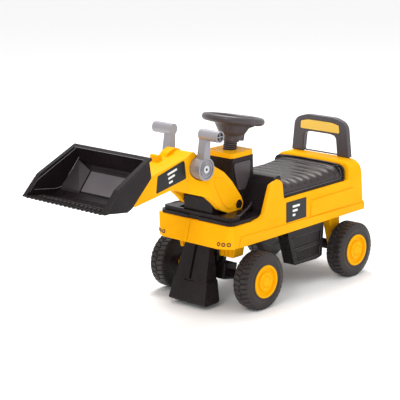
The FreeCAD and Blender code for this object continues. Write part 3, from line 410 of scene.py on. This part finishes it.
def make_seat_beads(rear, flange_top):
    """A pale bead along each side of the seat and up onto its rim; its paleness is a painted
    highlight.
    """
    bead = [(x * MM, y * MM, flange_top) for x, y in ((104, 138), (104, 240), (103.5, 340))]
    rim_face = rear - 6.2 * MM
    bead += [(101 * MM, rim_face - 3 * MM, flange_top + 1 * MM),
             (99.5 * MM, rim_face, 240 * MM), (98 * MM, rim_face, 249 * MM),
             (90 * MM, rim_face, 258 * MM), (76 * MM, rim_face, 261 * MM)]
    for word, side in SIDES:
        points = smooth_path([(side * x, y, z) for x, y, z in bead])
        tube_piece("seat_bead_" + word, "painted_highlight_line", "seat", points, 0.7 * MM)


def make_hinge_covers():
    """A black barrel over each of the seat's hinge lugs."""
    low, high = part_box("seat_hinge_pin")
    axis_y, axis_z = (low.y + high.y) / 2, (low.z + high.z) / 2
    for word, side in SIDES:
        route = [(side * x * MM, axis_y, axis_z) for x in (81.4, 82.0, 91.2, 91.8)]
        tube_piece("hinge_cover_" + word, "black_plastic", "seat", route, 7.0 * MM, 28)


def make_seat():
    """The moulded seat: a channelled pad, a flange with a bead and a raised rear rim."""
    low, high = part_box("seat_lid")
    flange_top = low.z + 5.5 * MM
    cushion = seat_cushion(low, high.y - 5.5 * MM, flange_top)
    flange = rounded_rectangle(-108.5 * MM, 108.5 * MM, low.y + 0.5 * MM, high.y, 8 * MM)
    make_plate("seat_flange", "black_plastic", "seat", flange, low.z, flange_top, 1.6 * MM)
    make_seat_rim(high.y)
    make_seat_beads(high.y, flange_top)
    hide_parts("seat_lid")
    make_hinge_covers()


# ---------------------------------------------------------------- flat mouldings

def rounded_rectangle(x_low, x_high, y_low, y_high, radius, steps=6):
    """Corner points of a rounded rectangle, counter-clockwise."""
    points = []
    corners = ((x_high - radius, y_high - radius, 0), (x_low + radius, y_high - radius, 90),
               (x_low + radius, y_low + radius, 180), (x_high - radius, y_low + radius, 270))
    for x, y, start in corners:
        for step in range(steps + 1):
            angle = math.radians(start + 90 * step / steps)
            points.append((x + radius * math.cos(angle), y + radius * math.sin(angle)))
    return points


def make_plate(name, surface, body, outline, bottom, top, edge, place=None):
    """A plate with a bevelled top edge, drawn in X and Y and then moved by a matrix."""
    centre_x = sum(p[0] for p in outline) / len(outline)
    centre_y = sum(p[1] for p in outline) / len(outline)
    reach = max(math.hypot(x - centre_x, y - centre_y) for x, y in outline)
    work = bmesh.new()
    levels = []
    for height, inset in ((bottom, 0.0), (top - edge, 0.0), (top - edge * 0.3, edge * 0.3),
                          (top, edge)):
        shrink = 1 - inset / reach
        levels.append([work.verts.new((centre_x + (x - centre_x) * shrink,
                                       centre_y + (y - centre_y) * shrink, height))
                       for x, y in outline])
    bridge(work, levels, closed=False)
    work.faces.new(levels[-1])
    work.faces.new(list(reversed(levels[0])))
    if place is not None:
        bmesh.ops.transform(work, matrix=place, verts=work.verts)
    return add_piece(name, finished_mesh(name, work), surface, body, smooth=False)


# ---------------------------------------------------------------- rods, rings and labels

def tube_piece(name, surface, body, path, radius, sides=10, closed=False):
    """A round bead along a list of points."""
    work = bmesh.new()
    rings = []
    count = len(path)
    for index, point in enumerate(path):
        if closed:
            ahead, behind = path[(index + 1) % count], path[index - 1]
        else:
            ahead, behind = path[min(index + 1, count - 1)], path[max(index - 1, 0)]
        along = (Vector(ahead) - Vector(behind)).normalized()
        across = along.cross(Vector((0, 0, 1)))
        if across.length < 0.1:
            across = along.cross(Vector((0, 1, 0)))
        across.normalize()
        upward = across.cross(along)
        rings.append([work.verts.new(Vector(point)
                                     + across * radius * math.cos(2 * math.pi * k / sides)
                                     + upward * radius * math.sin(2 * math.pi * k / sides))
                      for k in range(sides)])
    bridge(work, rings, closed)
    if not closed:
        work.faces.new(rings[0])
        work.faces.new(rings[-1])
    return add_piece(name, finished_mesh(name, work), surface, body)


def smooth_path(points, steps=8):
    """Points along a smooth curve through the given ones."""
    path = []
    last = len(points) - 1
    for index in range(last):
        before, start = Vector(points[max(index - 1, 0)]), Vector(points[index])
        end, after = Vector(points[index + 1]), Vector(points[min(index + 2, last)])
        for step in range(steps):
            s = step / steps
            path.append(0.5 * ((2 * start) + (end - before) * s
                               + (2 * before - 5 * start + 4 * end - after) * s * s
                               + (3 * start - before - 3 * end + after) * s ** 3))
    path.append(Vector(points[-1]))
    return path


def circle_path(centre, normal, radius, steps=40):
    """Points round a circle."""
    facing = Vector(normal).normalized()
    one = facing.orthogonal().normalized()
    two = facing.cross(one)
    return [Vector(centre) + one * radius * math.cos(2 * math.pi * k / steps)
            + two * radius * math.sin(2 * math.pi * k / steps) for k in range(steps)]


def side_plane(x, side):
    """Moves a plate drawn in X and Y so that it lies on a flank, its top outwards."""
    return Matrix(((0, 0, side, x), (1, 0, 0, 0), (0, 1, 0, 0), (0, 0, 0, 1)))


STRIPE_LEVELS = (-0.1 * MM, 0.25 * MM, 0.1 * MM)
BOOM_SLOPE = math.atan2(21, 82)


def make_side_stripes():
    """Three plain level bars on the label of each flank."""
    low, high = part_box("side_decals")
    middle_y, middle_z = (low.y + high.y) / 2, (low.z + high.z) / 2
    for word, side in SIDES:
        face = side_plane(high.x if side > 0 else low.x, side)
        for number, length in enumerate((26, 18, 10)):
            z = middle_z + (10 - 10 * number) * MM
            bar = rounded_rectangle(middle_y - 14 * MM, middle_y + (length - 14) * MM,
                                    z - 2.6 * MM, z + 2.6 * MM, 1.2 * MM)
            make_plate("side_stripe_%s_%d" % (word, number), "pale_mark", "chassis", bar,
                       *STRIPE_LEVELS, face)


def make_boom_stripes():
    """Three plain slanted bars on the label of each side of the arm."""
    low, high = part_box("boom_decals")
    lean, rise = math.cos(BOOM_SLOPE), math.sin(BOOM_SLOPE)
    for word, side in SIDES:
        face = side_plane(high.x if side > 0 else low.x, side)
        for number, length in enumerate((30, 21, 12)):
            y, z = low.y + (34 + 2.0 * number) * MM, low.z + (35 - 9.5 * number) * MM
            bar = rounded_rectangle(0, length * MM, -2.4 * MM, 2.4 * MM, 1.1 * MM)
            bar = [(y + u * lean - v * rise, z + u * rise + v * lean) for u, v in bar]
            make_plate("boom_stripe_%s_%d" % (word, number), "pale_mark", "arm", bar,
                       *STRIPE_LEVELS, face)


def solid_piece(name, surface, body, corners):
    """A closed block between two rings of four corners, with bevelled edges."""
    work = bmesh.new()
    verts = [work.verts.new(corner) for corner in corners]
    above, below = verts[:4], verts[4:]
    work.faces.new(above)
    work.faces.new(below)
    bridge(work, [above, below], closed=False)
    bmesh.ops.recalc_face_normals(work, faces=work.faces)
    bmesh.ops.bevel(work, geom=work.edges[:], offset=0.6 * MM, segments=2, affect="EDGES")
    return add_piece(name, finished_mesh(name, work), surface, body, smooth=False)


WHEEL_BACK = ((0.5, 13), (0.5, 16), (2.2, 20), (2.2, 34), (0.6, 38), (0.6, 43), (3.0, 43),
              (3.2, 34), (3.2, 13))
WHEEL_BACK_POINTS = 48


def make_wheel_backs():
    """A black dished disc that closes the inner side of each hub."""
    for wheel, side in WHEELS:
        low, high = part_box("tyre_" + wheel)
        near = low.x if side > 0 else high.x
        centre_y, centre_z = (low.y + high.y) / 2, (low.z + high.z) / 2
        work = bmesh.new()
        rings = []
        for depth, radius in WHEEL_BACK:
            angles = [2 * math.pi * k / WHEEL_BACK_POINTS for k in range(WHEEL_BACK_POINTS)]
            rings.append([work.verts.new((near + side * depth * MM,
                                          centre_y + radius * MM * math.cos(angle),
                                          centre_z + radius * MM * math.sin(angle)))
                          for angle in angles])
        bridge(work, rings, closed=True)
        name = "wheel_back_" + wheel
        add_piece(name, finished_mesh(name, work), "tyre_plastic", "wheel_" + wheel,
                  smooth=False)


def make_leg_ribs():
    """Three rounded upright ribs on the front of each front leg."""
    for word, side in SIDES:
        low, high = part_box("front_leg_" + word)
        for number, x in enumerate((46, 59, 72)):
            route = [(side * x * MM, low.y + 1.6 * MM, low.z + 2.4 * MM),
                     (side * (x + 0.6) * MM, low.y + 1.2 * MM, low.z + 14 * MM),
                     (side * (x + 1.6) * MM, low.y + 1.2 * MM, high.z - 1 * MM)]
            tube_piece("leg_rib_%d_%s" % (number, word), "yellow_plastic", "chassis",
                       smooth_path(route), 5.2 * MM, 20)


def turned_piece(name, surface, body, axis_base, axis, profile, around=56):
    """A closed ring turned round an axis, from a profile of radius and height in mm."""
    axis = Vector(axis).normalized()
    across = axis.cross(Vector((0, 1, 0))).normalized()
    ahead = axis.cross(across)
    work = bmesh.new()
    rings = []
    for radius, height in profile:
        rings.append([work.verts.new(
            axis_base + axis * height * MM
            + (across * math.cos(2 * math.pi * k / around)
               + ahead * math.sin(2 * math.pi * k / around)) * radius * MM)
            for k in range(around)])
    bridge(work, rings, closed=True)
    return add_piece(name, finished_mesh(name, work), surface, body)


COLUMN_LEAN = (0.1818, 0.98333)
COLUMN_AXIS = Vector((0, COLUMN_LEAN[0], COLUMN_LEAN[1]))
COLUMN_BEHIND = Vector((0, COLUMN_LEAN[1], -COLUMN_LEAN[0]))
COLUMN_FOOT = Vector((0, 24.5 * MM, 65 * MM))
HOUSING = [(22.4, 297.8), (23.6, 297.4), (24.4, 298.4), (25.2, 312), (26.6, 318.5), (30, 323.5),
           (36.5, 328), (43.5, 331), (44, 332.5), (21.5, 332.5), (21.5, 299.5)]
COLUMN_RIB = [(14.2, -1.2), (15.9, -0.9), (16.4, 0), (15.9, 0.9), (14.2, 1.2)]


def make_steering_housing():
    """The housing under the wheel's hub, and the ribbed sleeve on the column."""
    turned_piece("steering_housing", "dark_plastic", "steering",
                 COLUMN_FOOT + COLUMN_BEHIND * 7.5 * MM, COLUMN_AXIS, HOUSING)
    for number, height in enumerate((275.5, 280, 284.5, 289, 293.5)):
        rib = [(radius, height + rise) for radius, rise in COLUMN_RIB]
        turned_piece("column_rib_%d" % number, "black_plastic", "steering", COLUMN_FOOT,
                     COLUMN_AXIS, rib, 40)


STEP_PANELS = ([(160, 128), (168, 101), (266, 101), (268, 128)],
               [(171, 94), (178, 69), (262, 68), (265, 94)])
STEP_BEAD_POINTS = 6


def make_step_frames():
    """Raised beads round the two panels of each step box."""
    for word, side in SIDES:
        low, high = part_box("side_step_" + word)
        x = (high.x if side > 0 else low.x) - side * 0.4 * MM
        for number, panel in enumerate(STEP_PANELS):
            path = []
            for (y1, z1), (y2, z2) in zip(panel, panel[1:] + panel[:1]):
                for step in range(STEP_BEAD_POINTS):
                    s = step / STEP_BEAD_POINTS
                    path.append((x, (y1 + (y2 - y1) * s) * MM, (z1 + (z2 - z1) * s) * MM))
            tube_piece("step_bead_%d_%s" % (number, word), "bucket_slope", "chassis", path,
                       1.0 * MM, 8, closed=True)


RING_PLACES = ((83.0, 157.0), (94.5, 157.0), (104.5, 157.0))
RING_RADIUS, RING_THICKNESS = 3.6 * MM, 1.3 * MM
AHEAD_OF_NOSE = -0.2


def make_nose_rings():
    """Three small printed rings at each front corner of the nose, laid on its surface."""
    shell = nodes["body_shell"].data
    tree = BVHTree.FromPolygons([v.co for v in shell.vertices],
                                [face.vertices[:] for face in shell.polygons])
    for word, side in SIDES:
        for x, z in RING_PLACES:
            start = Vector((side * x * MM, AHEAD_OF_NOSE, z * MM))
            centre, outward = tree.ray_cast(start, Vector((0, 1, 0)))[:2]
            if outward.y > 0:
                outward = -outward
            ring = [tree.find_nearest(point)[0]
                    for point in circle_path(centre, outward, RING_RADIUS, 28)]
            tube_piece("nose_ring_%d_%s" % (x, word), "brown_mark", "chassis", ring,
                       RING_THICKNESS, 6, closed=True)


def make_deck_lip():
    """The raised rib that curls across the deck beside each leg of the arm."""
    route = [(97, -12, 212.6), (95, 2, 212.8), (84, 26, 213.4), (74, 50, 215), (67, 68, 219),
             (61, 78, 221)]
    for word, side in SIDES:
        points = smooth_path(in_metres(route, side))
        tube_piece("deck_lip_" + word, "dark_plastic", "chassis", points, 2.0 * MM)


def make_knee_trim():
    """The black roll of the knee wall beside each pillar."""
    route = [(104, 60, 206), (104, 72, 222), (104, 88, 252), (104, 99, 270), (104, 112, 278),
             (104, 124, 279)]
    for word, side in SIDES:
        points = smooth_path(in_metres(route, side))
        tube_piece("knee_trim_" + word, "black_plastic", "chassis", points, 2.4 * MM)


FLOOR_RIBS, FLOOR_RIB_PITCH, FLOOR_RIB_HALF = 16, 12.6, 3.5


def make_bucket_back_pad():
    """The raised panel on the bucket's back."""
    place = Matrix.Translation((0, -318 * MM, 327 * MM)) @ Matrix.Rotation(
        math.atan2(49, 58), 4, "X")
    pad = [(x * MM, y * MM) for x, y in ((-43, -31), (43, -31), (52, 22), (-52, 22))]
    make_plate("bucket_back_pad", "bucket_pad", "bucket", pad, -1.0 * MM, 3.2 * MM, 1.4 * MM,
               place)


def make_bucket_corners():
    """A sloped block in each rear corner of the bucket, and a bright line on each side as a
    painted highlight along the step.
    """
    block = [(99.5, -294.5, 361), (104.5, -342, 311), (46, -344, 309), (56, -302, 344),
             (99.5, -288.5, 350), (104.5, -345, 302), (46, -345, 302), (56, -300, 340)]
    line = [(99.6, -292, 366), (101.5, -318, 336), (103.4, -338, 313), (105.5, -352, 308),
            (108, -380, 311), (110.4, -410, 315)]
    for word, side in SIDES:
        solid_piece("bucket_slope_" + word, "bucket_slope", "bucket", in_metres(block, side))
        points = smooth_path(in_metres(line, side))
        tube_piece("bucket_step_" + word, "painted_highlight_line", "bucket", points, 0.7 * MM, 8)


def make_bucket_rim_edge():
    """A painted highlight: a bright line along the inner edge of the bucket's sides and back."""
    rim = in_metres([(111.5, -423, 311), (110.3, -404, 331), (108.6, -386, 341.8),
                     (103.2, -304, 382), (101.5, -300.5, 387), (96, -300.2, 388)])
    rim += [(-x, y, z) for x, y, z in reversed(rim)]
    tube_piece("bucket_rim_edge", "painted_highlight_line", "bucket", smooth_path(rim, 5), 0.75 * MM, 8)


def make_bucket_floor_ribs():
    """A row of short ribs across the bucket's floor."""
    place = Matrix.Translation((0, -387 * MM, 300.6 * MM)) @ Matrix.Rotation(
        math.atan2(-7.5, 57), 4, "X")
    for number in range(FLOOR_RIBS):
        x = (number - (FLOOR_RIBS - 1) / 2) * FLOOR_RIB_PITCH
        rib = rounded_rectangle((x - FLOOR_RIB_HALF) * MM, (x + FLOOR_RIB_HALF) * MM,
                                -26 * MM, -8 * MM, 2.5 * MM)
        make_plate("bucket_floor_rib_%d" % number, "bucket_slope", "bucket", rib, -1.0 * MM,
                   1.4 * MM, 1.0 * MM, place)


FLANK_HALF_WIDTH = 113
FLANK_PANEL = ((226, 190), (226, 168), (388, 168), (388, 206), (240, 206), (233, 204))
ARM_LEG_FACE = 60
ARM_PIVOT = (36.3, 225.2)
LEG_PANEL = ((-44, 300), (-24, 297), (-6, 284), (16, 257), (26, 243), (22, 233), (12, 220),
             (-2, 222), (-18, 236), (-34, 262), (-45, 284))


def make_flank_panels():
    """The embossed panel on each flank behind the label."""
    outline = [(y * MM, z * MM) for y, z in FLANK_PANEL]
    for word, side in SIDES:
        make_plate("flank_panel_" + word, "yellow_plastic", "chassis", outline, 0.0, 2.4 * MM,
                   1.8 * MM, side_plane(side * FLANK_HALF_WIDTH * MM, side))


def make_leg_panels():
    """The raised panel and the round eye on the outer face of each leg of the arm."""
    outline = [(y * MM, z * MM) for y, z in LEG_PANEL]
    for word, side in SIDES:
        make_plate("leg_panel_" + word, "yellow_plastic", "arm", outline, -0.2 * MM, 1.5 * MM,
                   1.3 * MM, side_plane(side * ARM_LEG_FACE * MM, side))
        centre = (side * (ARM_LEG_FACE + 0.2) * MM, ARM_PIVOT[0] * MM, ARM_PIVOT[1] * MM)
        tube_piece("leg_eye_" + word, "yellow_plastic", "arm",
                   circle_path(centre, (side, 0, 0), 11.6 * MM, 36), 1.2 * MM, 8, closed=True)


def hexagon(y, z, radius):
    """The corners of a hexagon round a point."""
    return [(y + radius * MM * math.cos(math.pi * k / 3),
             z + radius * MM * math.sin(math.pi * k / 3)) for k in range(6)]


LEVER_BOSS_FACE = 63
# The rim ring's pale finish is a painted highlight on the boss's rounded edge.
LEVER_RINGS = (("rim", 21.6, 1.3, "painted_highlight_line"), ("step", 15.5, 1.2, "silver_plastic"),
               ("collar", 9.6, 1.3, "silver_plastic"))


def make_lever_faces():
    """Three stepped rings, the rim one a painted highlight, and a flat dark hexagon painted as
    the socket's shade, on each lever's round boss.
    """
    low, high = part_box("lever_bolts")
    y, z = (low.y + high.y) / 2, (low.z + high.z) / 2
    for word, side in SIDES:
        centre = (side * (LEVER_BOSS_FACE - 1.3) * MM, y, z)
        for name, radius, thick, surface in LEVER_RINGS:
            tube_piece("lever_%s_%s" % (name, word), surface, "levers",
                       circle_path(centre, (side, 0, 0), radius * MM, 44), thick * MM, 8,
                       closed=True)
        bolt_face = high.x if side > 0 else low.x
        # Painted shade: a flat dark hexagon on the bolt face stands in for the shaded socket
        # hole.
        make_plate("lever_socket_shade_" + word, "black_plastic", "levers", hexagon(y, z, 3.4),
                   -0.2 * MM, 0.15 * MM, 0.05 * MM, side_plane(bolt_face, side))


HUB_BOLTS, HUB_BOLT_CIRCLE, HUB_BOLT_RADIUS = 5, 16.6, 1.9


def make_hub_bolts():
    """Five small bolt heads round each hub's raised ring."""
    for wheel, side in WHEELS:
        low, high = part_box("hub_" + wheel)
        face = (high.x if side > 0 else low.x) - side * 1.7 * MM
        centre_y, centre_z = (low.y + high.y) / 2, (low.z + high.z) / 2
        for number in range(HUB_BOLTS):
            angle = 2 * math.pi * (number + 0.25) / HUB_BOLTS
            bolt = hexagon(centre_y + HUB_BOLT_CIRCLE * MM * math.cos(angle),
                           centre_z + HUB_BOLT_CIRCLE * MM * math.sin(angle), HUB_BOLT_RADIUS)
            make_plate("hub_bolt_%s_%d" % (wheel, number), "yellow_plastic", "wheel_" + wheel,
                       bolt, -0.3 * MM, 1.0 * MM, 0.35 * MM, side_plane(face, side))


make_camera()
make_stage()
paint_nodes()
make_tyres()
make_seat()
make_side_stripes()
make_boom_stripes()
make_nose_rings()
make_deck_lip()
make_knee_trim()
make_bucket_back_pad()
make_bucket_corners()
make_bucket_rim_edge()
make_bucket_floor_ribs()
make_flank_panels()
make_leg_panels()
make_lever_faces()
make_hub_bolts()
make_wheel_backs()
make_leg_ribs()
make_step_frames()
make_steering_housing()
